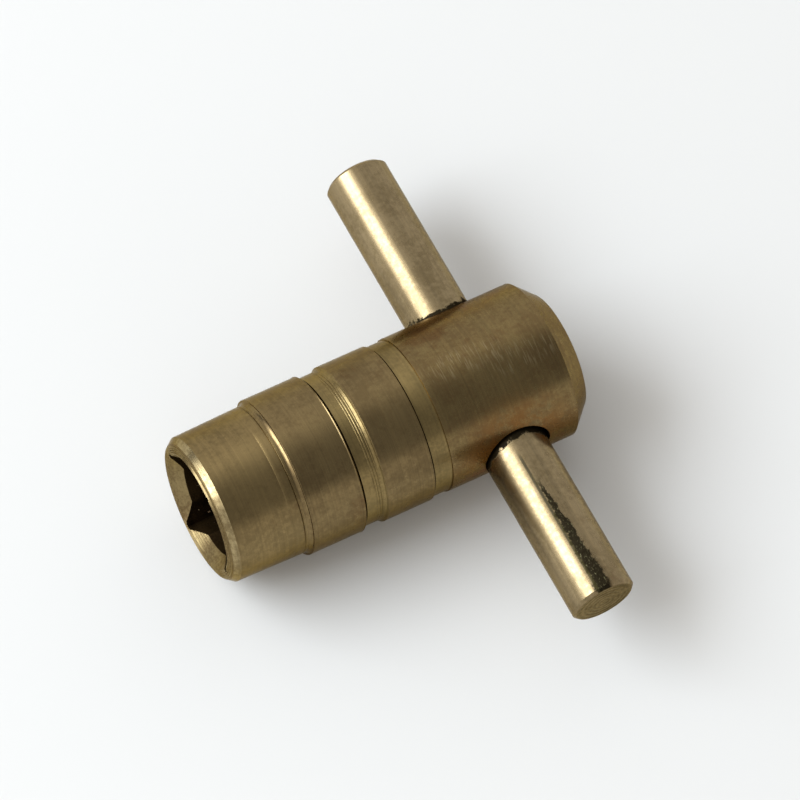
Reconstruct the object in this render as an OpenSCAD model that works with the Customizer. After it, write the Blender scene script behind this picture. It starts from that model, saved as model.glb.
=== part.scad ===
/* [Square socket] */
// Width of the square socket across its flats
socket_af = 5.5; // [5.1:0.05:5.6]
// Depth of the square socket from the mouth
socket_depth = 8.5; // [6:0.5:9.5]
// Diameter of the round hole that the square is cut into
pilot_d = 6.0; // [5.7:0.1:6.2]
// Depth of the round hole at its full diameter
pilot_depth = 10; // [9.5:0.5:12]
// Diameter of the countersink at the mouth
countersink_d = 7.4; // [6.8:0.1:7.6]
// Turn of the square about the key's axis, from the cross bar's direction
socket_turn = 59; // [0:1:89]

/* [Body diameters] */
// Diameter of the two collars
collar_d = 9.8; // [9.6:0.02:10.2]
// Diameter of the grip, where the cross bar goes through
grip_d = 9.72; // [9.6:0.02:10.2]
// Diameter of the nose where the flare to the front collar starts
nose_d = 9.3; // [9.0:0.02:9.4]
// Diameter of the nose at the mouth
nose_front_d = 9.12; // [8.8:0.02:9.2]
// Diameter of the front groove
front_groove_d = 9.42; // [9:0.02:9.5]
// Diameter of the rear groove
rear_groove_d = 9.54; // [9:0.02:9.58]

/* [Lengths along the key] */
// Distance from the mouth to the bar's centre line
mouth_to_bar = 18.45; // [18:0.05:20]
// Distance from the bar's centre line to the rear end
bar_to_rear = 5.2; // [4.6:0.1:7]
// Length of the chamfer around the mouth, along the key
mouth_chamfer = 0.45; // [0.2:0.05:0.7]
// Height of the chamfer around the mouth, across the key
mouth_chamfer_rise = 0.34; // [0.2:0.02:0.4]
// Size of the chamfer around the rear end
rear_chamfer = 1.2; // [0.6:0.1:1.5]

/* [Cross bar] */
// Diameter of the cross bar
bar_d = 4.0; // [3.5:0.1:4.4]
// Length of the cross bar
bar_length = 30.7; // [26:0.1:40]
// Size of the broken edge at each end of the cross bar
bar_edge = 0.18; // [0.1:0.02:0.4]

/* [Hidden] */
turned_brass = [0.60, 0.50, 0.31];
drawn_brass = [0.72, 0.61, 0.38];
$fn = 96;

// Half of the drill point's angle
drill_half_angle = 59;
// Stations along the key, from the mouth, of the flare, the collars and the grooves
flare_start = 4.3;
front_collar_start = 5.0;
front_groove_start = 8.45;
front_groove_end = 9.74;
middle_collar_start = 9.9;
rear_groove_start = 12.96;
rear_groove_end = 14.16;
grip_start = 14.26;
// The cross hole opens out by this much on its radius, over this length, at both of its exits
hole_flare = 0.2;
hole_flare_length = 1;
// Extra length of a cut past a face
past = 0.1;

key_length = mouth_to_bar + bar_to_rear;
drill_point_length = pilot_d / 2 / tan(drill_half_angle);
countersink_depth = (countersink_d - pilot_d) / 2;

// Half outline of the turned body, as distance from the mouth and radius
body_outline = [
    [0, 0],
    [0, nose_front_d / 2 - mouth_chamfer_rise],
    [mouth_chamfer, nose_front_d / 2],
    [flare_start, nose_d / 2],
    [front_collar_start, collar_d / 2],
    [front_groove_start, collar_d / 2],
    [front_groove_start, front_groove_d / 2],
    [front_groove_end, front_groove_d / 2],
    [middle_collar_start, collar_d / 2],
    [rear_groove_start, collar_d / 2],
    [rear_groove_start, rear_groove_d / 2],
    [rear_groove_end, rear_groove_d / 2],
    [grip_start, grip_d / 2],
    [key_length - rear_chamfer, grip_d / 2],
    [key_length, grip_d / 2 - rear_chamfer],
    [key_length, 0]
];

// Half outline of the cross bar, as distance from its middle and radius
bar_outline = [
    [-bar_length / 2, 0],
    [-bar_length / 2, bar_d / 2 - bar_edge],
    [-bar_length / 2 + bar_edge, bar_d / 2],
    [bar_length / 2 - bar_edge, bar_d / 2],
    [bar_length / 2, bar_d / 2 - bar_edge],
    [bar_length / 2, 0]
];

// A solid turned from a half outline, standing along +Z
module turned(outline) {
    rotate_extrude()
        polygon([for (point = outline) [point[1], point[0]]]);
}

// Lays what stands along +Z down along +X, starting at a distance from the mouth
module along_key(distance) {
    translate([distance, 0, 0])
        rotate([0, 90, 0])
            children();
}

// Lays what stands along +Z down along the cross bar's line
module along_bar() {
    translate([mouth_to_bar, 0, 0])
        rotate([-90, 0, 0])
            children();
}

module socket_cut() {
    along_key(-past)
        cylinder(h = pilot_depth + past, d = pilot_d);
    along_key(pilot_depth)
        cylinder(h = drill_point_length, d1 = pilot_d, d2 = 0);
    along_key(-past)
        cylinder(h = countersink_depth + past, d1 = countersink_d + 2 * past, d2 = pilot_d);
    rotate([socket_turn, 0, 0])
        translate([-past, -socket_af / 2, -socket_af / 2])
            cube([socket_depth + past, socket_af, socket_af]);
}

module cross_hole() {
    along_bar()
        cylinder(h = grip_d + 2 * past, d = bar_d, center = true);
    for (side = [0, 1])
        mirror([0, side, 0])
            along_bar()
                translate([0, 0, grip_d / 2 - hole_flare_length])
                    cylinder(h = 2 * hole_flare_length, d1 = bar_d, d2 = bar_d + 4 * hole_flare);
}

module key_body() {
    color(turned_brass)
        difference() {
            along_key(0)
                turned(body_outline);
            socket_cut();
            cross_hole();
        }
}

module cross_bar() {
    color(drawn_brass)
        along_bar()
            turned(bar_outline);
}

key_body();
cross_bar();
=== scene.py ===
"""The looks of a brass radiator bleed key.

The key is a turned body with a square socket, and a plain bar pressed through it.
"""

import logging
import math
from collections.abc import Iterable, Mapping
from dataclasses import dataclass
from enum import Enum
from typing import Any

import bmesh
import bpy
from mathutils import Matrix, Vector


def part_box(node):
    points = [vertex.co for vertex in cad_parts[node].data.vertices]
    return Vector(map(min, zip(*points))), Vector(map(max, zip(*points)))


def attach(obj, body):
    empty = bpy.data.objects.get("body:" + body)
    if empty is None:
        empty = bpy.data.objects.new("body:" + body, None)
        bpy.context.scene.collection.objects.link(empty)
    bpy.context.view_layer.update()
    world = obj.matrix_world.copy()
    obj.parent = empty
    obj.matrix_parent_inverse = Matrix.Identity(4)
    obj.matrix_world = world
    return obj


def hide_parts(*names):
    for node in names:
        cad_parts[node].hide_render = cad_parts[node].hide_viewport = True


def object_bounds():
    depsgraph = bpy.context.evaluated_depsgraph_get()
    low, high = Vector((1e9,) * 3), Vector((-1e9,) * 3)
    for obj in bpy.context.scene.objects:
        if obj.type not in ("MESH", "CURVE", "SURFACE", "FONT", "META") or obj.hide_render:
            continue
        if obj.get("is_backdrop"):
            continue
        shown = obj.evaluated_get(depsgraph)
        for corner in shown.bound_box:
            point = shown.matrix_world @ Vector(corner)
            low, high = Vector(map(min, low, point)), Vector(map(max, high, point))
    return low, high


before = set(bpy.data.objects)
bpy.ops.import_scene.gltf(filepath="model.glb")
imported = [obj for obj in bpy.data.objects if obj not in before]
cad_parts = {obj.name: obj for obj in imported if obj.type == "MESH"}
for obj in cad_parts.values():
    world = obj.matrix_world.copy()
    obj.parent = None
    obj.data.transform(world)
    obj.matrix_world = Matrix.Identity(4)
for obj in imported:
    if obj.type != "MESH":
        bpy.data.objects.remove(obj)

Pair = tuple[float, float]
Triple = tuple[float, float, float]
Shape = tuple[Pair, ...]
Tree = bpy.types.NodeTree
Object = bpy.types.Object

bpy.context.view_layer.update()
MM = 0.001
# Points closer than this, in metres, are one point
SLIVER = 0.001 * MM
# The same, where a turned outline closes on itself
SEAM = 1e-7
# Edges that turn by more than this stay sharp
SHARP_DEGREES = 18.0
# How far a cutter runs past the surface that it opens, in millimetres
PAST_MM = 0.5
KEY_AXIS = Vector((1, 0, 0))
BAR_AXIS = Vector((0, 1, 0))
UP = Vector((0, 0, 1))
MOUTH = Vector((0, 0, 0))
LOG = logging.getLogger("bleed_key")


def linear(code: str) -> tuple[float, float, float, float]:
    """Turns an sRGB hex colour into a linear one.

    Args:
        code: The colour, such as "#C0A878".

    Returns:
        Red, green, blue and an alpha of 1.
    """
    values = [int(code[i : i + 2], 16) / 255 for i in (1, 3, 5)]
    curve = [v / 12.92 if v <= 0.04045 else ((v + 0.055) / 1.055) ** 2.4 for v in values]
    return (*curve, 1.0)


def add_node(tree: Tree, kind: str, inputs: Mapping[str | int, Any] | None = None, **settings: Any) -> Any:
    """Adds a shader node with its settings and links.

    Args:
        tree: The node tree that takes the node.
        kind: The node's type.
        inputs: For each input, a socket to link from or a value to hold.
        settings: The node's own settings.

    Returns:
        The new node.
    """
    node = tree.nodes.new(kind)
    for name, value in settings.items():
        setattr(node, name, value)
    for name, value in (inputs or {}).items():
        if isinstance(value, bpy.types.NodeSocket):
            tree.links.new(value, node.inputs[name])
        else:
            node.inputs[name].default_value = value
    return node


def between(edge: Pair, unit: float = 1.0) -> dict[str, float]:
    """Where a share starts and where it is full, as inputs of a node that maps a range."""
    return {"From Min": edge[0] * unit, "From Max": edge[1] * unit}


# Sockets of a Mix node by place, since values and colours share names
FACTOR = 0
VALUE_A, VALUE_B, VALUE_OUT = 2, 3, 0
COLOUR_A, COLOUR_B, COLOUR_OUT = 6, 7, 2
# Settings of a Mix node for colours
COLOURS = {"data_type": "RGBA"}
# Settings of a share that rises smoothly from nothing to its most
RISE = {"clamp": True, "interpolation_type": "SMOOTHSTEP"}


# ------ wear


@dataclass(frozen=True)
class GripWear:
    """Brown stains round the cross bar's exits, and the pale dashes of a chuck's jaws.

    Sizes are in millimetres. An edge is where a share starts and where it is full: a distance from the
    middle of a stain or of a jaw's patch, or the noise's own value for a cloud or a dash.
    """

    cloud: float = 1.4
    cloud_edge: Pair = (0.35, 0.6)
    exit_y: float = 4.5
    stain_edge: Pair = (5.2, 2.2)
    stain_share: float = 0.9
    stain: str = "#7A5222"
    jaw_patches: tuple[Triple, ...] = ((17.0, 0.0, 4.86), (20.3, -1.1, 4.73))
    jaw_oval: Triple = (0.42, 1.35, 1.0)
    jaw_edge: Pair = (1.5, 0.7)
    jaw_share: float = 0.34
    dash: Triple = (0.085, 1.1, 1.1)
    dash_edge: Pair = (0.54, 0.66)
    pale: str = "#B3A27C"

    def worn(self, tree: Tree, place: Any, colour: Any, bar: Vector) -> Any:
        """Adds the stains and the dashes.

        Args:
            tree: The node tree.
            place: Coordinates in the row's frame.
            colour: The colour so far.
            bar: The cross bar's middle.

        Returns:
            The colour with the wear.
        """
        noise = {"Vector": place, "Scale": 1 / (self.cloud * MM), "Detail": 5.0, "Roughness": 0.7}
        cloud = add_node(tree, "ShaderNodeTexNoise", noise).outputs["Fac"]
        edge = {"Value": cloud, **between(self.cloud_edge)}
        patchy = add_node(tree, "ShaderNodeMapRange", edge, **RISE).outputs[0]
        for side in (-1, 1):
            ends = {0: place, 1: bar + Vector((0, side * self.exit_y * MM, 0))}
            far = add_node(tree, "ShaderNodeVectorMath", ends, operation="DISTANCE").outputs["Value"]
            edge = {"Value": far, "To Max": self.stain_share, **between(self.stain_edge, MM)}
            near = add_node(tree, "ShaderNodeMapRange", edge, **RISE).outputs[0]
            near = add_node(tree, "ShaderNodeMath", {0: near, 1: patchy}, operation="MULTIPLY").outputs[0]
            brown = {FACTOR: near, COLOUR_A: colour, COLOUR_B: linear(self.stain)}
            colour = add_node(tree, "ShaderNodeMix", brown, **COLOURS).outputs[COLOUR_OUT]
        size = tuple(1 / (step * MM) for step in self.dash)
        for patch in self.jaw_patches:
            middle = {"Vector": place, "Location": -(Vector(patch) * MM)}
            shifted = add_node(tree, "ShaderNodeMapping", middle).outputs[0]
            squeezed = {"Vector": shifted, "Scale": self.jaw_oval}
            oval = add_node(tree, "ShaderNodeMapping", squeezed).outputs[0]
            far = add_node(tree, "ShaderNodeVectorMath", {0: oval}, operation="LENGTH").outputs["Value"]
            edge = {"Value": far, "To Max": self.jaw_share, **between(self.jaw_edge, MM)}
            inside = add_node(tree, "ShaderNodeMapRange", edge, **RISE).outputs[0]
            stretched = add_node(tree, "ShaderNodeMapping", {"Vector": shifted, "Scale": size}).outputs[0]
            noise = {"Vector": stretched, "Scale": 1.0, "Detail": 1.0, "Roughness": 0.5}
            dashes = add_node(tree, "ShaderNodeTexNoise", noise).outputs["Fac"]
            edge = {"Value": dashes, **between(self.dash_edge)}
            dashes = add_node(tree, "ShaderNodeMapRange", edge, **RISE).outputs[0]
            lit = add_node(tree, "ShaderNodeMath", {0: dashes, 1: inside}, operation="MULTIPLY").outputs[0]
            pale = {FACTOR: lit, COLOUR_A: colour, COLOUR_B: linear(self.pale)}
            colour = add_node(tree, "ShaderNodeMix", pale, **COLOURS).outputs[COLOUR_OUT]
        return colour


@dataclass(frozen=True)
class BarWear:
    """The press's torn score on the bar, a hair line beside it, and painted shade where the bar meets the
    body.

    Sizes and places along the bar from its middle are in millimetres, and angles round it in radians. An
    edge is where a share starts and where it is full: a share of the score's half width, an angle from the
    hair line, the noise's own value for the specks, or a distance from the key's axis for the painted shade.
    """

    cloud: float = 0.55
    sway: float = 0.42
    widens: Pair = (-6.5, -14.0)
    half_widths: Pair = (0.03, 0.23)
    drifts: Pair = (-4.8, -11.5)
    middles: Pair = (1.798, 1.667)
    score_edge: Pair = (1.2, 0.7)
    score_starts: Pair = (-6.6, -8.4)
    score_share: float = 0.92
    streak: Triple = (1.0, 0.45, 1.0)
    speck: float = 0.09
    speck_edge: Pair = (0.55, 0.76)
    torn: str = "#100E08"
    flecked: str = "#8A8562"
    hair_angle: float = math.radians(106.0)
    hair_edge: Pair = (0.06, 0.025)
    hair_share: float = 0.85
    hair_starts: Pair = (-5.2, -6.2)
    hair: str = "#3E3820"
    painted_shade_edge: Pair = (5.14, 5.0)
    painted_shade_sway: float = 1.1
    painted_shade_share: float = 0.95
    painted_shade: str = "#140F07"

    def score_amount(self, tree: Tree, along: Any, angle: Any, wander: Any) -> Any:
        """How much of the score there is at a point.

        Args:
            tree: The node tree.
            along: Distance along the bar.
            angle: Angle round the bar.
            wander: An uneven value around 0.

        Returns:
            The amount, from 0 to 1.
        """
        sway = {0: wander, 1: self.sway, 2: angle}
        swayed = add_node(tree, "ShaderNodeMath", sway, operation="MULTIPLY_ADD").outputs[0]
        # The score starts near the body as a hair and widens to its most at the bar's end
        measures = []
        for places, values in ((self.widens, self.half_widths), (self.drifts, self.middles)):
            changes = {"Value": along, "To Min": values[0], "To Max": values[1], **between(places, MM)}
            measures.append(add_node(tree, "ShaderNodeMapRange", changes, clamp=True).outputs[0])
        width, middle = measures
        off = add_node(tree, "ShaderNodeMath", {0: swayed, 1: middle}, operation="SUBTRACT").outputs[0]
        off = add_node(tree, "ShaderNodeMath", {0: off}, operation="ABSOLUTE").outputs[0]
        share = add_node(tree, "ShaderNodeMath", {0: off, 1: width}, operation="DIVIDE").outputs[0]
        edge = {"Value": share, **between(self.score_edge)}
        inside = add_node(tree, "ShaderNodeMapRange", edge, **RISE).outputs[0]
        starts = {"Value": along, "To Max": self.score_share, **between(self.score_starts, MM)}
        begun = add_node(tree, "ShaderNodeMapRange", starts, **RISE).outputs[0]
        return add_node(tree, "ShaderNodeMath", {0: inside, 1: begun}, operation="MULTIPLY").outputs[0]

    def worn(self, tree: Tree, place: Any, centred: Any, colour: Any) -> tuple[Any, Any]:
        """Adds all of the bar's wear, and the painted shade where the bar meets the body.

        Args:
            tree: The node tree.
            place: Coordinates in the row's frame.
            centred: Coordinates from the bar's middle.
            colour: The colour so far.

        Returns:
            The colour with the wear and the painted shade, and how matt they have left the surface.
        """
        parts = add_node(tree, "ShaderNodeSeparateXYZ", {0: centred}).outputs
        angle = add_node(tree, "ShaderNodeMath", {0: parts[2], 1: parts[0]}, operation="ARCTAN2").outputs[0]
        noise = {"Vector": centred, "Scale": 1 / (self.cloud * MM), "Detail": 4.0, "Roughness": 0.75}
        cloud = add_node(tree, "ShaderNodeTexNoise", noise).outputs["Fac"]
        wander = add_node(tree, "ShaderNodeMath", {0: cloud, 1: -0.5}, operation="ADD").outputs[0]
        score = self.score_amount(tree, parts[1], angle, wander)
        # Specks of bare metal show through the score
        streaks = add_node(tree, "ShaderNodeMapping", {"Vector": centred, "Scale": self.streak}).outputs[0]
        noise = {"Vector": streaks, "Scale": 1 / (self.speck * MM), "Detail": 3.0, "Roughness": 0.75}
        speckle = add_node(tree, "ShaderNodeTexNoise", noise).outputs["Fac"]
        edge = {"Value": speckle, **between(self.speck_edge)}
        specks = add_node(tree, "ShaderNodeMapRange", edge, **RISE).outputs[0]
        specked = {FACTOR: specks, COLOUR_A: linear(self.torn), COLOUR_B: linear(self.flecked)}
        dark = add_node(tree, "ShaderNodeMix", specked, **COLOURS).outputs[COLOUR_OUT]
        # A hair line runs beside it
        off = add_node(tree, "ShaderNodeMath", {0: angle, 1: -self.hair_angle}, operation="ADD").outputs[0]
        off = add_node(tree, "ShaderNodeMath", {0: off}, operation="ABSOLUTE").outputs[0]
        edge = {"Value": off, "To Max": self.hair_share, **between(self.hair_edge)}
        line = add_node(tree, "ShaderNodeMapRange", edge, **RISE).outputs[0]
        starts = {"Value": parts[1], **between(self.hair_starts, MM)}
        begun = add_node(tree, "ShaderNodeMapRange", starts, **RISE).outputs[0]
        line = add_node(tree, "ShaderNodeMath", {0: line, 1: begun}, operation="MULTIPLY").outputs[0]
        # Painted shade darkens the corner where the bar leaves the body, out to an uneven edge
        flat = add_node(tree, "ShaderNodeMapping", {"Vector": place, "Scale": (0.0, 1.0, 1.0)}).outputs[0]
        out = add_node(tree, "ShaderNodeVectorMath", {0: flat}, operation="LENGTH").outputs["Value"]
        sway = {0: wander, 1: -self.painted_shade_sway * MM, 2: out}
        jagged = add_node(tree, "ShaderNodeMath", sway, operation="MULTIPLY_ADD").outputs[0]
        edge = {"Value": jagged, "To Max": self.painted_shade_share, **between(self.painted_shade_edge, MM)}
        painted_shade = add_node(tree, "ShaderNodeMapRange", edge, **RISE).outputs[0]
        for amount, over in ((score, dark), (line, linear(self.hair)), (painted_shade, linear(self.painted_shade))):
            layer = {FACTOR: amount, COLOUR_A: colour, COLOUR_B: over}
            colour = add_node(tree, "ShaderNodeMix", layer, **COLOURS).outputs[COLOUR_OUT]
        return colour, add_node(tree, "ShaderNodeMath", {0: painted_shade, 1: score}, operation="MAXIMUM").outputs[0]


# ------ finishes


class Lay(Enum):
    """The way that the marks of machining run on a surface."""

    ROUND_KEY = "around the key's axis"
    ALONG_BAR = "along the cross bar"
    ROUND_BAR = "around the cross bar's axis"
    NONE = "no direction"


class Wear(Enum):
    """What making and use have left on a surface."""

    NONE = "nothing more than tarnish"
    GRIPPED = "stained around the cross bar, and scored by a chuck"
    # The score is real wear, and the darkening where the bar meets the body is painted shade
    SCORED = "a torn score from the press, and grime where the bar meets the body"
    CHIPPED = "bright specks where the broach tore the wall"


# How many times longer a mark is than it is wide
LAY_STRETCH = 110.0
# The distance between two rings of a wave texture whose scale is 1, in metres
WAVE_PITCH = math.tau / 20
# How many mottles fit in a dull patch, and how many dull patches in a stain's cloud
MOTTLES_TO_BLOTCH = 9
BLOTCHES_TO_CLOUD = 1.8
# Where the metal starts to be dull and is all dull, in the sum of the two noises
DULL_EDGE = (0.82, 1.2)
# Noise above which a stain starts when stains take no share, and how far a full share lowers that
STAIN_LEVEL = 0.72
STAIN_LEVEL_DROP = 0.3
# Width of a stain's edge, and the most that a stain covers
STAIN_EDGE = 0.14
STAIN_COVER = 0.75
# Painted shade in a mark's bottom and painted highlight on its top, as the metal's brightness there
MARK_SHADE_AND_HIGHLIGHT = (0.86, 1.12)
# Where nearly all of a noise's values lie
NOISE_RANGE = (0.3, 0.7)
# Bright specks in the socket: size, edge in the noise's own value, and colour
CHIP_MM = 0.3
CHIP_EDGE = (0.74, 0.77)
CHIP_COLOUR = "#F2D4A8"
# How much rougher the score and the painted shade at the bar's exits are than the metal under them
SCORE_AND_SHADE_ROUGHNESS = 0.45
# Roughness of the thin film
FILM_ROUGHNESS = 0.28
# In the whole turns that a highlight's rotation is counted in
QUARTER_TURN = 0.25


@dataclass(frozen=True, kw_only=True)
class BrassFinish:
    """Leaded brass with one machined surface.

    Attributes:
        name: The finish in a maker's words.
        clean: Colour of the bare metal.
        dull: Colour where it has gone dull from handling.
        stain: Colour of the browner stains.
        roughness: Typical roughness of the surface.
        roughness_spread: How far the roughness wanders either way.
        lay: The way that the marks run.
        mark_pitch_mm: Distance from one mark to the next.
        mark_depth_mm: Height of the marks.
        blotch_mm: Size of the dull and stained patches.
        anisotropy: How much the marks stretch a highlight across themselves.
        stain_share: How much of the surface the stains take, from 0 to 1.
        coat: How much of a thin film of grease and handling lies on it, from 0 to 1.
        wear: What else there is on it.
        grazing: Tint of a reflection at a grazing angle.
    """

    name: str
    clean: str
    dull: str
    stain: str
    roughness: float
    roughness_spread: float = 0.05
    lay: Lay = Lay.ROUND_KEY
    mark_pitch_mm: float
    mark_depth_mm: float = 0.003
    blotch_mm: float
    anisotropy: float
    stain_share: float = 0.4
    coat: float = 0.3
    wear: Wear = Wear.NONE
    grazing: str = "#C2B08A"

    def mark_scale(self) -> Triple:
        """How many marks there are to a metre along each axis."""
        across = 1 / (self.mark_pitch_mm * MM)
        along = across / LAY_STRETCH
        if self.lay is Lay.ROUND_KEY:
            return (across, along, along)
        if self.lay is Lay.ALONG_BAR:
            return (across, along, across)
        return (across, across, across)

    def marks(self, tree: Tree, centred: Any) -> Any:
        """The marks that machining left.

        Args:
            tree: The node tree.
            centred: Coordinates from the pattern's centre.

        Returns:
            The marks' height, around 0.5.
        """
        if self.lay is Lay.ROUND_BAR:
            scale = WAVE_PITCH / (self.mark_pitch_mm * MM)
            wave = {"Vector": centred, "Scale": scale, "Distortion": 1.2, "Detail": 2.0}
            rings = {"wave_type": "RINGS", "rings_direction": "Y"}
            return add_node(tree, "ShaderNodeTexWave", wave, **rings).outputs["Fac"]
        lay = {"Vector": centred, "Scale": self.mark_scale()}
        streaked = add_node(tree, "ShaderNodeMapping", lay).outputs[0]
        noise = {"Vector": streaked, "Scale": 1.0, "Detail": 3.0, "Roughness": 0.65}
        return add_node(tree, "ShaderNodeTexNoise", noise).outputs["Fac"]

    def tarnished(self, tree: Tree, place: Any, centred: Any, mottle: Any) -> Any:
        """Colour of the metal with its dull patches, a few millimetres across, and its stains.

        Args:
            tree: The node tree.
            place: Coordinates in the row's frame.
            centred: Coordinates from the pattern's centre.
            mottle: Noise of a few tenths of a millimetre, which lies inside the patches.

        Returns:
            The colour.
        """
        noise = {"Vector": place, "Scale": 1 / (self.blotch_mm * MM), "Detail": 5.0, "Roughness": 0.62}
        blotch = add_node(tree, "ShaderNodeTexNoise", noise).outputs["Fac"]
        both = add_node(tree, "ShaderNodeMath", {0: blotch, 1: mottle}, operation="ADD").outputs[0]
        edge = {"Value": both, **between(DULL_EDGE)}
        dulling = add_node(tree, "ShaderNodeMapRange", edge, **RISE).outputs[0]
        tarnish = {FACTOR: dulling, COLOUR_A: linear(self.clean), COLOUR_B: linear(self.dull)}
        colour = add_node(tree, "ShaderNodeMix", tarnish, **COLOURS).outputs[COLOUR_OUT]
        scale = 1 / (BLOTCHES_TO_CLOUD * self.blotch_mm * MM)
        noise = {"Vector": centred, "Scale": scale, "Detail": 6.0, "Roughness": 0.7}
        cloud = add_node(tree, "ShaderNodeTexNoise", noise).outputs["Fac"]
        level = STAIN_LEVEL - STAIN_LEVEL_DROP * self.stain_share
        edge = {"Value": cloud, "To Max": STAIN_COVER, **between((level, level + STAIN_EDGE))}
        cover = add_node(tree, "ShaderNodeMapRange", edge, **RISE).outputs[0]
        stained = {FACTOR: cover, COLOUR_A: colour, COLOUR_B: linear(self.stain)}
        return add_node(tree, "ShaderNodeMix", stained, **COLOURS).outputs[COLOUR_OUT]

    def material(self, bar: Vector, centre: Vector) -> bpy.types.Material:
        """Makes the finish as a material.

        Args:
            bar: The cross bar's middle.
            centre: The point that patterns with a centre are centred on.

        Returns:
            The new material.
        """
        made = bpy.data.materials.new(self.name)
        made.use_nodes = True
        tree = made.node_tree
        tree.nodes.clear()
        place = add_node(tree, "ShaderNodeTexCoord").outputs["Object"]
        centred = add_node(tree, "ShaderNodeMapping", {"Vector": place, "Location": -centre}).outputs[0]
        scale = MOTTLES_TO_BLOTCH / (self.blotch_mm * MM)
        noise = {"Vector": place, "Scale": scale, "Detail": 3.0, "Roughness": 0.7}
        mottle = add_node(tree, "ShaderNodeTexNoise", noise).outputs["Fac"]
        marks = self.marks(tree, centred)

        colour = self.tarnished(tree, place, centred, mottle)
        # Painted shade in the marks' bottoms and painted highlight on their tops
        shades = {"Value": marks, "To Min": MARK_SHADE_AND_HIGHLIGHT[0], "To Max": MARK_SHADE_AND_HIGHLIGHT[1], **between(NOISE_RANGE)}
        tint = add_node(tree, "ShaderNodeMapRange", shades).outputs[0]
        tinted = {0: colour, "Scale": tint}
        colour = add_node(tree, "ShaderNodeVectorMath", tinted, operation="SCALE").outputs[0]
        least, most = self.roughness - self.roughness_spread, self.roughness + self.roughness_spread
        spread = {"Value": mottle, "To Min": least, "To Max": most, **between(NOISE_RANGE)}
        rough = add_node(tree, "ShaderNodeMapRange", spread, clamp=True).outputs[0]
        film = self.coat
        if self.wear is Wear.GRIPPED:
            colour = GripWear().worn(tree, place, colour, bar)
        elif self.wear is Wear.CHIPPED:
            noise = {"Vector": place, "Scale": 1 / (CHIP_MM * MM), "Detail": 1.0, "Roughness": 0.5}
            chips = add_node(tree, "ShaderNodeTexNoise", noise).outputs["Fac"]
            edge = {"Value": chips, **between(CHIP_EDGE)}
            chips = add_node(tree, "ShaderNodeMapRange", edge, **RISE).outputs[0]
            bright = {FACTOR: chips, COLOUR_A: colour, COLOUR_B: linear(CHIP_COLOUR)}
            colour = add_node(tree, "ShaderNodeMix", bright, **COLOURS).outputs[COLOUR_OUT]
        elif self.wear is Wear.SCORED:
            colour, matt = BarWear().worn(tree, place, centred, colour)
            rougher = {0: matt, 1: SCORE_AND_SHADE_ROUGHNESS, 2: rough}
            rough = add_node(tree, "ShaderNodeMath", rougher, operation="MULTIPLY_ADD").outputs[0]
            # The score and the painted shade soak up the thin film
            soaked = {0: matt, 1: -self.coat, 2: self.coat}
            limited = {"operation": "MULTIPLY_ADD", "use_clamp": True}
            film = add_node(tree, "ShaderNodeMath", soaked, **limited).outputs[0]

        relief = {"Height": marks, "Strength": 1.0, "Distance": self.mark_depth_mm * MM}
        inputs = {
            "Base Color": colour,
            "Metallic": 1.0,
            "Roughness": rough,
            "Anisotropic": self.anisotropy,
            # Tarnish keeps a grazing reflection brown, where clean metal's would turn white
            "Specular Tint": linear(self.grazing),
            "Coat Weight": film,
            "Coat Roughness": FILM_ROUGHNESS,
            "Normal": add_node(tree, "ShaderNodeBump", relief).outputs[0],
        }
        shader = add_node(tree, "ShaderNodeBsdfPrincipled", inputs)
        if self.anisotropy > 0:
            # Marks around the key blur a reflection along it, and marks along the bar blur one around it
            round_key = self.lay is Lay.ROUND_KEY
            shader.inputs["Anisotropic Rotation"].default_value = QUARTER_TURN if round_key else 0.0
            axis = "X" if round_key else "Y"
            tangent = add_node(tree, "ShaderNodeTangent", direction_type="RADIAL", axis=axis).outputs[0]
            tree.links.new(tangent, shader.inputs["Tangent"])
        add_node(tree, "ShaderNodeOutputMaterial", {"Surface": shader.outputs[0]})
        return made


# Turned on a lathe and handled: fine rings, an even satin sheen and brown tarnish
TURNED = BrassFinish(
    name="turned_brass_satin", clean="#806C46", dull="#6E5B39", stain="#5E4424", roughness=0.31,
    mark_pitch_mm=0.09, blotch_mm=3.2, anisotropy=0.6, stain_share=0.45,
)
# The same with a slower feed, so a little rougher and lighter
NOSE = BrassFinish(
    name="turned_brass_nose", clean="#877249", dull="#75623D", stain="#634A29", roughness=0.32,
    mark_pitch_mm=0.11, mark_depth_mm=0.004, blotch_mm=2.8, anisotropy=0.65,
)
# The same, where the cross bar goes through and a chuck held it
GRIP = BrassFinish(
    name="turned_brass_grip", clean="#7E6A42", dull="#6E5936", stain="#5E401E", roughness=0.29,
    mark_pitch_mm=0.09, blotch_mm=2.6, anisotropy=0.6, stain_share=0.6, wear=Wear.GRIPPED,
)
# Cut by a worn tool: coarser rings that scatter more light, and a yellower colour
RINGED = BrassFinish(
    name="turned_brass_ringed", clean="#8C774A", dull="#79673F", stain="#684F2B", roughness=0.34,
    mark_pitch_mm=0.14, mark_depth_mm=0.006, blotch_mm=2.0, anisotropy=0.7,
)
# Faces cut last by the lathe tool: cleaner and brighter than the rest
FACED = BrassFinish(
    name="faced_brass_bright", clean="#A08E66", dull="#7E6C48", stain="#604A2A", roughness=0.23,
    mark_pitch_mm=0.07, blotch_mm=2.4, anisotropy=0.4,
)
# The small cove under the front collar, which the tool's nose burnished
COVE = BrassFinish(
    name="burnished_brass_cove", clean="#806C46", dull="#6E5B39", stain="#5E4424", roughness=0.2,
    roughness_spread=0.04, mark_pitch_mm=0.07, blotch_mm=2.4, anisotropy=0.4,
)
# Painted shade in the corners behind the collars and on the cross hole's walls: matt and nearly black
PAINTED_RECESS_SHADE = BrassFinish(
    name="brass_painted_recess_shade", clean="#54431F", dull="#241D12", stain="#120E07", roughness=0.6,
    mark_pitch_mm=0.09, blotch_mm=2.4, anisotropy=0.0, stain_share=0.6, coat=0.0,
)
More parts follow.
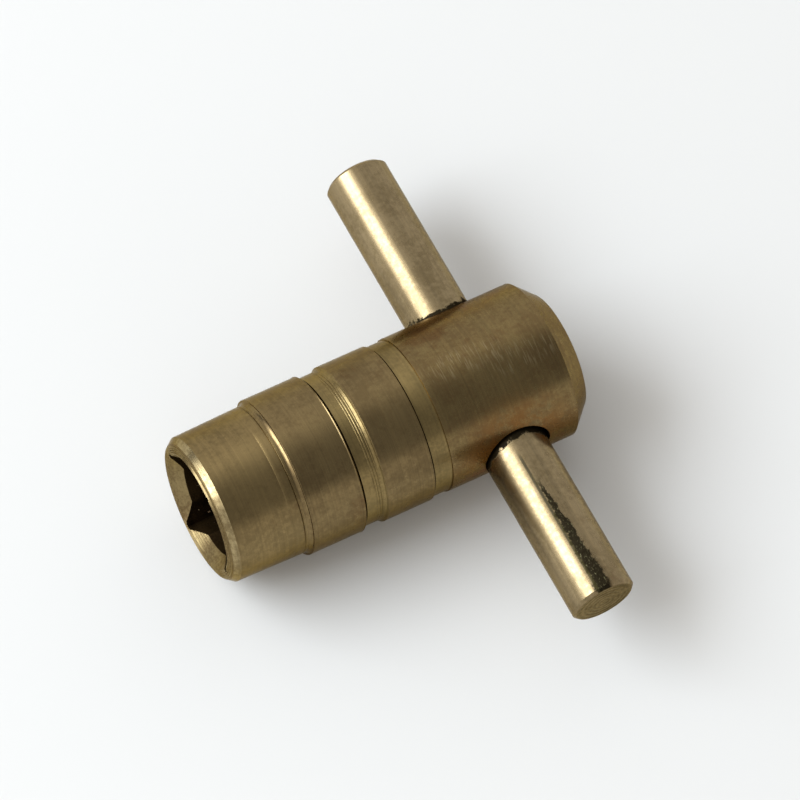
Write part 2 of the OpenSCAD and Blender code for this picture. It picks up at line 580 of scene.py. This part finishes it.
# Walls torn by the square broach: rough, and painted dark brown as the shade inside the socket
BROACHED = BrassFinish(
    name="broached_brass_painted_shade", clean="#44341F", dull="#2E2214", stain="#1C130A", roughness=0.55,
    roughness_spread=0.08, lay=Lay.NONE, mark_pitch_mm=0.3, mark_depth_mm=0.01, blotch_mm=1.2,
    anisotropy=0.0, stain_share=0.7, coat=0.0, wear=Wear.CHIPPED,
)
# The countersink: brown like the walls, with the cutter's rings
COUNTERSUNK = BrassFinish(
    name="countersunk_brass_ringed", clean="#8C7A54", dull="#725F40", stain="#5E4A2E", roughness=0.34,
    mark_pitch_mm=0.14, mark_depth_mm=0.022, blotch_mm=1.5, anisotropy=0.6, stain_share=0.5, coat=0.05,
    grazing="#E0D4B8",
)
# Bright drawn rod: long faint die lines and a semi-bright skin
DRAWN = BrassFinish(
    name="drawn_brass_rod", clean="#907D5A", dull="#7B6947", stain="#69502F", roughness=0.23,
    lay=Lay.ALONG_BAR, mark_pitch_mm=0.16, mark_depth_mm=0.002, blotch_mm=2.6, anisotropy=0.5, coat=0.5,
    wear=Wear.SCORED,
)
# Bar ends parted off in the lathe: round tool marks
PARTED = BrassFinish(
    name="parted_brass_end", clean="#7A6A4A", dull="#57492F", stain="#443822", roughness=0.4,
    roughness_spread=0.06, lay=Lay.ROUND_BAR, mark_pitch_mm=0.32, mark_depth_mm=0.012, blotch_mm=1.6,
    anisotropy=0.0, stain_share=0.5, coat=0.0, grazing="#E6DAC2",
)


# ------ shaping


class Merge(Enum):
    """What becomes of a solid that meets another, in the boolean modifier's own words."""

    JOIN = "UNION"
    CUT = "DIFFERENCE"


def steps_from(x: float, r: float, steps: Iterable[Pair]) -> list[Pair]:
    """Points of an outline that are given as steps from one place on it."""
    return [(x + along, r + rise) for along, rise in steps]


def spin_outline(outline: Iterable[Pair], along: Vector, start: Vector, steps: int) -> bmesh.types.BMesh:
    """Turns a half outline into a closed round solid.

    Args:
        outline: Distances along the axis and radii, in metres, which start and end on the axis.
        along: Unit vector along the axis, which is level.
        start: Where distance is 0 on the axis.
        steps: How many facets go round.

    Returns:
        The solid, with its faces pointing outwards.
    """
    mesh = bmesh.new()
    points = [mesh.verts.new(start + along * x + UP * r) for x, r in outline]
    edges = [mesh.edges.new(pair) for pair in zip(points, points[1:])]
    bmesh.ops.spin(
        mesh,
        geom=points + edges,
        cent=start,
        axis=along,
        angle=math.tau,
        steps=steps,
        use_merge=True,
        use_duplicate=False,
    )
    bmesh.ops.remove_doubles(mesh, verts=mesh.verts, dist=SEAM)
    bmesh.ops.recalc_face_normals(mesh, faces=mesh.faces)
    return mesh


def to_object(mesh: bmesh.types.BMesh, name: str) -> Object:
    """Makes an object at the origin from a bmesh.

    Args:
        mesh: The shape, which is freed.
        name: The object's name.

    Returns:
        The object, linked to the scene.
    """
    data = bpy.data.meshes.new(name)
    mesh.to_mesh(data)
    mesh.free()
    made = bpy.data.objects.new(name, data)
    bpy.context.scene.collection.objects.link(made)
    return made


def combine(target: Object, tool: Object, merge: Merge) -> None:
    """Joins a closed solid to an object or cuts it out, and removes the solid.

    Args:
        target: The object that is changed. Its mesh is replaced.
        tool: The other solid.
        merge: Whether it is joined or cut out.
    """
    change = target.modifiers.new(tool.name, "BOOLEAN")
    change.operation = merge.value
    change.solver = "EXACT"
    change.object = tool
    graph = bpy.context.evaluated_depsgraph_get()
    shaped = bpy.data.meshes.new_from_object(target.evaluated_get(graph))
    target.modifiers.clear()
    target.data = shaped
    bpy.data.objects.remove(tool)


def finish_edges(made: Object) -> None:
    """Clears slivers from an object's mesh, and shades it smooth with its real corners sharp."""
    mesh = bmesh.new()
    mesh.from_mesh(made.data)
    bmesh.ops.remove_doubles(mesh, verts=mesh.verts, dist=SLIVER)
    bmesh.ops.dissolve_degenerate(mesh, edges=mesh.edges, dist=SLIVER)
    limit = math.radians(SHARP_DEGREES)
    for face in mesh.faces:
        face.smooth = True
    for edge in mesh.edges:
        edge.smooth = edge.is_manifold and edge.calc_face_angle(0.0) < limit
    mesh.to_mesh(made.data)
    mesh.free()


# Least share of a normal that faces the key's axis, the mouth and the bar's ends
FACES_IN = 0.05
FACES_OUT = 0.3
END_FACES = 0.9


@dataclass(frozen=True)
class RingMark:
    """A fine ring that the tool left round the body.

    Attributes:
        x: Its distance from the mouth.
        width: Its width along the key.
        height: How far it stands proud, or lies below the surface if negative.
    """

    x: float
    width: float
    height: float


@dataclass
class KeyBody:
    """The turned and broached body. Sizes are in millimetres, along the key from its mouth.

    A field of pairs is a small shape in the outline, as steps along and outwards from one corner.
    """

    facets: int = 358
    drill_facets: int = 240
    cross_drill_facets: int = 180
    nose_front_r: float = 4.56
    nose_rear_r: float = 4.65
    collar_r: float = 4.9
    grip_r: float = 4.86
    front_groove_r: float = 4.71
    rear_groove_r: float = 4.77
    rim_step: float = 0.06
    mouth_notch: Shape = ((-0.01, -0.05), (0.01, -0.02), (0.045, -0.025), (0.09, 0.02), (0.095, 0.05))
    mouth_chamfer: float = 0.45
    mouth_chamfer_rise: float = 0.33
    front_collar: float = 5.0
    front_groove: float = 8.45
    front_groove_end: float = 9.74
    middle_collar: float = 9.9
    rear_groove: float = 12.96
    rear_groove_end: float = 14.16
    grip: float = 14.26
    burr: Shape = ((-0.1, 0.0), (-0.05, 0.028), (0.0, -0.03))
    wall_lean: float = 0.01
    front_corner: float = 0.14
    front_corner_depth: float = 0.12
    front_corner_lean: float = 0.03
    rear_corner: float = 0.09
    rear_corner_depth: float = 0.09
    rear_corner_lean: float = 0.02
    rim_edge: Pair = (-0.01, 0.03)
    ridge: Shape = ((-0.01, -0.07), (-0.065, -0.01), (-0.01, 0.02))
    ridges_r: tuple[float, ...] = (3.78, 3.92, 4.06)
    cove: float = 0.25
    cove_curve: Shape = ((-0.17, 0.016), (-0.1, 0.045), (-0.05, 0.073), (-0.01, 0.1), (0.02, 0.13))
    collar_corner: Shape = ((0.03, -0.02), (0.05, 0.0))
    groove_shoulder: Shape = ((-0.03, 0.0), (0.1, 0.075))
    edge_up: Shape = ((0.0, -0.02), (0.02, 0.0))
    edge_down: Shape = ((-0.02, 0.0), (0.0, -0.02))
    grip_edge: Pair = (0.015, -0.01)
    rear_chamfer: float = 1.2
    socket_af: float = 5.5
    socket_depth: float = 8.5
    socket_turn_degrees: float = 59.0
    pilot_r: float = 3.0
    pilot_depth: float = 10.0
    drill_half_angle: float = 59.0
    countersink_r: float = 3.62
    cutter_rings: tuple[float, ...] = (0.16, 0.3, 0.53, 0.66, 0.86)
    cutter_ring: float = 0.03
    cutter_ring_depth: float = 0.007
    hole_flare: float = 0.14
    hole_flare_length: float = 1.0
    hole_lean: float = 0.4
    cross_drill_past: float = 2.0
    ring_spacing: float = 0.3
    # Bounds between one finish and the next
    socket_end: float = 13.0
    past_rim: float = 1.0
    rim_margin: float = 0.05
    rim_end: float = 0.02
    notch_end: float = 0.096
    notch_reach: float = 0.06
    cove_overlap: float = 0.04
    hole_lip: float = 0.4
    rings: tuple[RingMark, ...] = (
        RingMark(3.96, 0.1, -0.014),
        RingMark(4.59, 0.08, -0.045),
        RingMark(9.28, 0.07, -0.015),
        RingMark(9.43, 0.08, -0.025),
        RingMark(9.6, 0.07, -0.02),
    )

    def outline(self, length: float) -> list[Pair]:
        """The turned outline, from the mouth's centre to the rear end's.

        Args:
            length: The body's length in millimetres.

        Returns:
            Points as distance from the mouth and radius, in millimetres.
        """
        front_floor = self.front_groove_r - self.front_corner_depth
        rear_floor = self.rear_groove_r - self.rear_corner_depth
        corners = [
            (0.0, 0.0),
            (0.0, self.countersink_r - self.rim_step),
            *self.face_ridges(),
            *steps_from(0.0, self.nose_front_r - self.mouth_chamfer_rise, self.mouth_notch),
            (self.mouth_chamfer, self.nose_front_r),
            (self.front_collar - self.cove, self.nose_rear_r),
            *steps_from(self.front_collar, self.nose_rear_r, self.cove_curve),
            *steps_from(self.front_collar, self.collar_r, self.collar_corner),
            *steps_from(self.front_groove, self.collar_r, self.burr),
            (self.front_groove + self.wall_lean, front_floor),
            (self.front_groove + self.front_corner - self.front_corner_lean, front_floor),
            (self.front_groove + self.front_corner, self.front_groove_r),
            *steps_from(self.front_groove_end, self.front_groove_r, self.groove_shoulder),
            *steps_from(self.middle_collar, self.collar_r, self.edge_up),
            *steps_from(self.rear_groove, self.collar_r, self.edge_down),
            (self.rear_groove + self.wall_lean, rear_floor),
            (self.rear_groove + self.rear_corner - self.rear_corner_lean, rear_floor),
            (self.rear_groove + self.rear_corner, self.rear_groove_r),
            (self.rear_groove_end, self.rear_groove_r),
            *steps_from(self.rear_groove_end, self.grip_r, [self.grip_edge]),
            (self.grip, self.grip_r),
            (length - self.rear_chamfer, self.grip_r),
            (length, self.grip_r - self.rear_chamfer),
            (length, 0.0),
        ]
        return self.with_rings(corners)

    def face_ridges(self) -> list[Pair]:
        """The fine round ridges that facing left on the mouth's flat rim."""
        points = steps_from(0.0, self.countersink_r, [self.rim_edge])
        for r in self.ridges_r:
            points += steps_from(0.0, r, self.ridge)
        return points

    def with_rings(self, corners: list[Pair]) -> list[Pair]:
        """Adds the ring marks and even stations along the long stretches.

        Args:
            corners: The outline's corners.

        Returns:
            The full outline.
        """
        marks = [
            (ring.x + side * ring.width / 2, ring.height * (side == 0))
            for ring in self.rings
            for side in (-1, 0, 1)
        ]
        full: list[Pair] = []
        for (x0, r0), (x1, r1) in zip(corners, corners[1:]):
            full.append((x0, r0))
            count = int((x1 - x0) / self.ring_spacing)
            even = [(x0 + (x1 - x0) * i / (count + 1), 0.0) for i in range(1, count + 1)]
            inside = [(x, h) for x, h in marks if x0 < x < x1]
            clear = [(x, h) for x, h in even if all(abs(x - ring.x) > ring.width for ring in self.rings)]
            for x, height in sorted(inside + clear):
                full.append((x, r0 + (r1 - r0) * (x - x0) / (x1 - x0) + height))
        return full + [corners[-1]]

    def blank(self, length: float) -> Object:
        """Turns the solid blank along +X.

        Args:
            length: The body's length in millimetres.

        Returns:
            The blank.
        """
        outline = [(x * MM, r * MM) for x, r in self.outline(length)]
        mesh = spin_outline(outline, KEY_AXIS, MOUTH, self.facets)
        return to_object(mesh, "key_body_turned")

    def drill(self) -> Object:
        """The round tools of the socket: the pilot drill's point and wall, and the countersink."""
        depth = self.countersink_r - self.pilot_r
        rings = []
        for share in self.cutter_rings:
            for side in (-1, 0, 1):
                wall = self.countersink_r - depth * share - side * self.cutter_ring
                groove = self.cutter_ring_depth * (side == 0)
                rings.append((depth * share + side * self.cutter_ring, wall + groove))
        outline = [
            (-PAST_MM, 0.0),
            (-PAST_MM, self.countersink_r + PAST_MM),
            (0.0, self.countersink_r),
            *rings,
            (depth, self.pilot_r),
            (self.pilot_depth, self.pilot_r),
            (self.pilot_depth + self.pilot_r / math.tan(math.radians(self.drill_half_angle)), 0.0),
        ]
        scaled = [(x * MM, r * MM) for x, r in outline]
        mesh = spin_outline(scaled, KEY_AXIS, MOUTH, self.drill_facets)
        return to_object(mesh, "pilot_drill")

    def broach(self) -> Object:
        """The square broach."""
        mesh = bmesh.new()
        bmesh.ops.create_cube(mesh, size=1.0)
        length = self.socket_depth + PAST_MM
        bmesh.ops.scale(mesh, verts=mesh.verts, vec=Vector((length, self.socket_af, self.socket_af)) * MM)
        place = Matrix.Translation(Vector(((length / 2 - PAST_MM) * MM, 0, 0)))
        turn = Matrix.Rotation(math.radians(self.socket_turn_degrees), 4, "X")
        bmesh.ops.transform(mesh, matrix=turn @ place, verts=mesh.verts)
        return to_object(mesh, "square_broach")

    def cross_drill(self, bar_x: float, bar_r: float) -> Object:
        """The cross hole's drill, which opens out at both exits.

        Args:
            bar_x: The cross bar's distance from the mouth, in millimetres.
            bar_r: The cross bar's radius, in millimetres.

        Returns:
            The solid to cut out.
        """
        end = self.grip_r + self.cross_drill_past
        foot = self.grip_r - self.hole_flare_length
        end_r = bar_r + self.hole_flare * (end - foot) / self.hole_flare_length
        outline = [(-end, 0.0), (-end, end_r), (-foot, bar_r), (foot, bar_r), (end, end_r), (end, 0.0)]
        scaled = [(y * MM, r * MM) for y, r in outline]
        mesh = spin_outline(scaled, BAR_AXIS, Vector((bar_x * MM, 0, 0)), self.cross_drill_facets)
        # The drill wandered upwards as it broke out of the near side
        far_ring = [v for v in mesh.verts if v.co.y < -(end - self.hole_flare_length) * MM]
        lean = self.hole_lean * (end - foot) / self.hole_flare_length
        bmesh.ops.translate(mesh, verts=far_ring, vec=Vector((0, 0, lean * MM)))
        return to_object(mesh, "cross_drill")

    def build(self, length: float, bar_x: float, bar_r: float) -> Object:
        """Makes the body.

        Args:
            length: The body's length, in millimetres.
            bar_x: The cross bar's distance from the mouth, in millimetres.
            bar_r: The cross bar's radius, in millimetres.

        Returns:
            The body, not yet dressed.
        """
        made = self.blank(length)
        socket = self.drill()
        combine(socket, self.broach(), Merge.JOIN)
        combine(made, socket, Merge.CUT)
        combine(made, self.cross_drill(bar_x, bar_r), Merge.CUT)
        finish_edges(made)
        return made

    def dress(self, made: Object, bar: Vector) -> None:
        """Gives each surface of the body its finish.

        Args:
            made: The body.
            bar: The cross bar's middle, in metres.
        """
        finishes = (TURNED, NOSE, GRIP, RINGED, FACED, COVE, PAINTED_RECESS_SHADE, COUNTERSUNK, BROACHED)
        for finish in finishes:
            made.data.materials.append(finish.material(bar, MOUTH))
        for face in made.data.polygons:
            made_by = self.finish_at(face.center / MM, face.normal)
            face.material_index = finishes.index(made_by)

    def finish_at(self, place: Vector, facing: Vector) -> BrassFinish:
        """Says how the surface at a point was made.

        Args:
            place: The point, in millimetres.
            facing: The surface's normal.

        Returns:
            The finish.
        """
        r = math.hypot(place.y, place.z)
        inwards = facing.y * place.y + facing.z * place.z < -FACES_IN * r
        within = place.x < self.socket_end and r < self.countersink_r + self.rim_margin
        if within and (inwards or place.x > self.past_rim):
            coned = place.x < self.countersink_r - self.pilot_r and facing.x < -FACES_OUT
            return COUNTERSUNK if coned else BROACHED
        notch_r = self.nose_front_r - self.mouth_chamfer_rise
        if self.rim_end < place.x < self.notch_end and abs(r - notch_r) < self.notch_reach:
            return TURNED
        if place.x < self.mouth_chamfer:
            return FACED if place.x > self.rim_end else COUNTERSUNK
        if -self.cove_overlap < self.front_collar - place.x < self.cove:
            return COVE
        if place.x < self.front_collar:
            return NOSE
        # The corners behind the collars take the painted shade
        in_front_corner = 0 < place.x - self.front_groove < self.front_corner
        if in_front_corner or 0 < place.x - self.rear_groove < self.rear_corner:
            return PAINTED_RECESS_SHADE
        in_front = self.front_groove < place.x < self.middle_collar
        in_rear = self.rear_groove < place.x < self.rear_groove_end
        if in_front or in_rear:
            return RINGED
        if place.x < self.rear_groove:
            return TURNED
        # The cross hole's walls take the painted shade
        in_cross_hole = inwards and r < self.grip_r - self.hole_lip
        return PAINTED_RECESS_SHADE if in_cross_hole else GRIP


@dataclass
class CrossBar:
    """The plain drawn bar. Sizes are in millimetres."""

    facets: int = 160
    edge: float = 0.18
    ring_spacing: float = 0.5

    def build(self, low: Vector, high: Vector) -> Object:
        """Makes the bar.

        Args:
            low: The lowest corner of the space it fills, in metres.
            high: The highest corner of the space it fills, in metres.

        Returns:
            The bar, not yet dressed.
        """
        radius = (high.z - low.z) / 2
        centre = (low + high) / 2
        half = (high.y - low.y) / 2
        edge = self.edge * MM
        straight = half - edge
        count = round(2 * straight / (self.ring_spacing * MM))
        wall = [(-straight + 2 * straight * i / count, radius) for i in range(count + 1)]
        outline = [(-half, 0.0), (-half, radius - edge), *wall, (half, radius - edge), (half, 0.0)]
        mesh = spin_outline(outline, BAR_AXIS, centre, self.facets)
        made = to_object(mesh, "cross_bar_drawn")
        finish_edges(made)
        return made

    def dress(self, made: Object, centre: Vector) -> None:
        """Gives the bar's skin and its ends their finishes.

        Args:
            made: The bar.
            centre: The bar's middle, in metres.
        """
        for finish in (DRAWN, PARTED):
            made.data.materials.append(finish.material(centre, centre))
        for face in made.data.polygons:
            face.material_index = int(abs(face.normal.y) > END_FACES)


# ------ studio


@dataclass(frozen=True)
class SoftBox:
    """A soft light that is aimed at the key.

    Attributes:
        name: Which light it is.
        heading: Its compass heading from the key, in degrees from +Y towards +X.
        elevation: Its height above the table, in degrees.
        spread: Its width and height as seen from the key, in degrees.
        radiance: How bright its face is.
        reach: Its distance, as a share of the studio's own light distance.
        colour: Its colour.
    """

    name: str
    heading: float
    elevation: float
    spread: Pair
    radiance: float
    reach: float = 1.0
    colour: str = "#FFFFFF"


def direction(heading: float, elevation: float) -> Vector:
    """Unit vector towards a heading and an elevation.

    Args:
        heading: Degrees from +Y towards +X.
        elevation: Degrees above the table.

    Returns:
        The unit vector.
    """
    h, e = math.radians(heading), math.radians(elevation)
    return Vector((math.sin(h) * math.cos(e), math.cos(h) * math.cos(e), math.sin(e)))


@dataclass
class Studio:
    """A pale table, soft lights and the camera. Directions are in degrees, and sizes in metres.

    The room has a shade where the viewer stands, a flag low on the far left and a glow near the horizon.
    An edge is where one starts and is full: the cosine of the angle from its middle, or the glow's height.
    """

    heading: float = 36.67
    elevation: float = 63.75
    roll: float = 9.57
    distance: float = 0.3623
    lens: float = 279.0
    aim_mm: Triple = (13.92, 1.24, 0.0)
    light_distance: float = 0.6
    room_radiance: float = 0.84
    shade_radiance: float = 0.3
    flag_heading: float = -32.0
    flag_elevation: float = 5.0
    flag_edge: Pair = (0.93, 0.985)
    glow_edge: Pair = (0.46, 0.3)
    shade_heading: float = 141.0
    shade_elevation: float = 52.0
    shade_edge: Pair = (0.5, 0.93)
    table_half_width: float = 1.5
    boxes: tuple[SoftBox, ...] = (
        SoftBox("key_light", -65.0, 39.0, (46.0, 30.0), 7.0, colour="#E6F1FF"),
        SoftBox("key_light_halo", -65.0, 39.0, (72.0, 50.0), 1.1, 1.1),
    )

    def camera(self) -> None:
        """Sets the camera."""
        data = bpy.data.cameras.new("camera")
        data.lens = self.lens
        data.sensor_width = 36.0
        data.clip_start = 0.01
        made = bpy.data.objects.new("camera", data)
        bpy.context.scene.collection.objects.link(made)
        away = -direction(self.heading, -self.elevation)
        turn = away.to_track_quat("Z", "Y").to_matrix().to_4x4()
        place = Matrix.Translation(Vector(self.aim_mm) * MM + away * self.distance)
        made.matrix_world = place @ turn @ Matrix.Rotation(math.radians(self.roll), 4, "Z")
        bpy.context.scene.camera = made

    def light(self, box: SoftBox, centre: Vector) -> None:
        """Adds one soft light.

        Args:
            box: The light.
            centre: What it is aimed at.
        """
        data = bpy.data.lights.new(box.name, "AREA")
        data.shape = "RECTANGLE"
        data.size, data.size_y = (
            2 * self.light_distance * box.reach * math.tan(math.radians(angle / 2)) for angle in box.spread
        )
        data.energy = box.radiance * math.pi * data.size * data.size_y
        data.color = linear(box.colour)[:3]
        made = bpy.data.objects.new(box.name, data)
        bpy.context.scene.collection.objects.link(made)
        away = direction(box.heading, box.elevation)
        turn = away.to_track_quat("Z", "Y").to_matrix().to_4x4()
        reach = self.light_distance * box.reach
        made.matrix_world = Matrix.Translation(centre + away * reach) @ turn

    def room(self) -> None:
        """Lights the room evenly, and darker on the side where the viewer stands."""
        world = bpy.data.worlds.new("studio_room")
        bpy.context.scene.world = world
        world.use_nodes = True
        tree = world.node_tree
        tree.nodes.clear()
        way = add_node(tree, "ShaderNodeTexCoord").outputs["Generated"]
        height = add_node(tree, "ShaderNodeSeparateXYZ", {0: way}).outputs[2]
        edges = []
        for heading, elevation, edge in (
            (self.shade_heading, self.shade_elevation, self.shade_edge),
            (self.flag_heading, self.flag_elevation, self.flag_edge),
        ):
            middle = {0: way, 1: direction(heading, elevation)}
            facing = add_node(tree, "ShaderNodeVectorMath", middle, operation="DOT_PRODUCT").outputs["Value"]
            edges.append({"Value": facing, **between(edge)})
        shade, flag = edges
        # The side where the viewer stands is dark, and light again near the horizon
        levels = {"To Min": self.room_radiance, "To Max": self.shade_radiance}
        strength = add_node(tree, "ShaderNodeMapRange", {**shade, **levels}, **RISE).outputs[0]
        low = {"Value": height, **between(self.glow_edge)}
        glow = add_node(tree, "ShaderNodeMapRange", low, **RISE).outputs[0]
        lit = {FACTOR: glow, VALUE_A: strength, VALUE_B: self.room_radiance}
        strength = add_node(tree, "ShaderNodeMix", lit).outputs[VALUE_OUT]
        # The mouth's chamfer mirrors the flag
        dark = add_node(tree, "ShaderNodeMapRange", flag, **RISE).outputs[0]
        flagged = {FACTOR: dark, VALUE_A: strength, VALUE_B: self.shade_radiance}
        strength = add_node(tree, "ShaderNodeMix", flagged).outputs[VALUE_OUT]
        back = add_node(tree, "ShaderNodeBackground", {"Color": (1, 1, 1, 1), "Strength": strength})
        add_node(tree, "ShaderNodeOutputWorld", {"Surface": back.outputs[0]})

    def table(self, height: float) -> None:
        """Lays a plain pale table under the key.

        Args:
            height: The height that the key rests at.
        """
        mesh = bmesh.new()
        bmesh.ops.create_grid(mesh, x_segments=1, y_segments=1, size=self.table_half_width)
        bmesh.ops.translate(mesh, verts=mesh.verts, vec=Vector((0, 0, height)))
        made = to_object(mesh, "table")
        pale = bpy.data.materials.new("matt_white_card")
        pale.use_nodes = True
        shader = pale.node_tree.nodes["Principled BSDF"]
        shader.inputs["Base Color"].default_value = linear("#DEDCD7")
        shader.inputs["Roughness"].default_value = 0.9
        made.data.materials.append(pale)
        made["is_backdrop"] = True

    def build(self, centre: Vector, height: float) -> None:
        """Sets up the whole studio.

        Args:
            centre: The key's middle.
            height: The height that the key rests at.
        """
        bpy.context.scene.view_settings.view_transform = "Standard"
        self.camera()
        self.room()
        self.table(height)
        for box in self.boxes:
            self.light(box, centre)


def main() -> None:
    """Builds the key and its studio, and says what was made."""
    logging.basicConfig(level=logging.INFO, format="%(name)s: %(message)s")
    body_low, body_high = (Vector(corner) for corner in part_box("key_body"))
    bar_low, bar_high = (Vector(corner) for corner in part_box("cross_bar"))
    bar_centre = (bar_low + bar_high) / 2
    bar_r = (bar_high.z - bar_low.z) / 2

    body = KeyBody()
    body_piece = body.build((body_high.x - body_low.x) / MM, bar_centre.x / MM, bar_r / MM)
    body.dress(body_piece, bar_centre)
    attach(body_piece, "root")
    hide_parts("key_body")
    LOG.info("%s: %d faces", body_piece.name, len(body_piece.data.polygons))

    bar = CrossBar()
    bar_piece = bar.build(bar_low, bar_high)
    bar.dress(bar_piece, bar_centre)
    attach(bar_piece, "root")
    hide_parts("cross_bar")
    LOG.info("%s: %d faces", bar_piece.name, len(bar_piece.data.polygons))

    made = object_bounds()
    Studio().build((body_low + body_high) / 2, made[0][2])


if __name__ == "__main__":
    main()
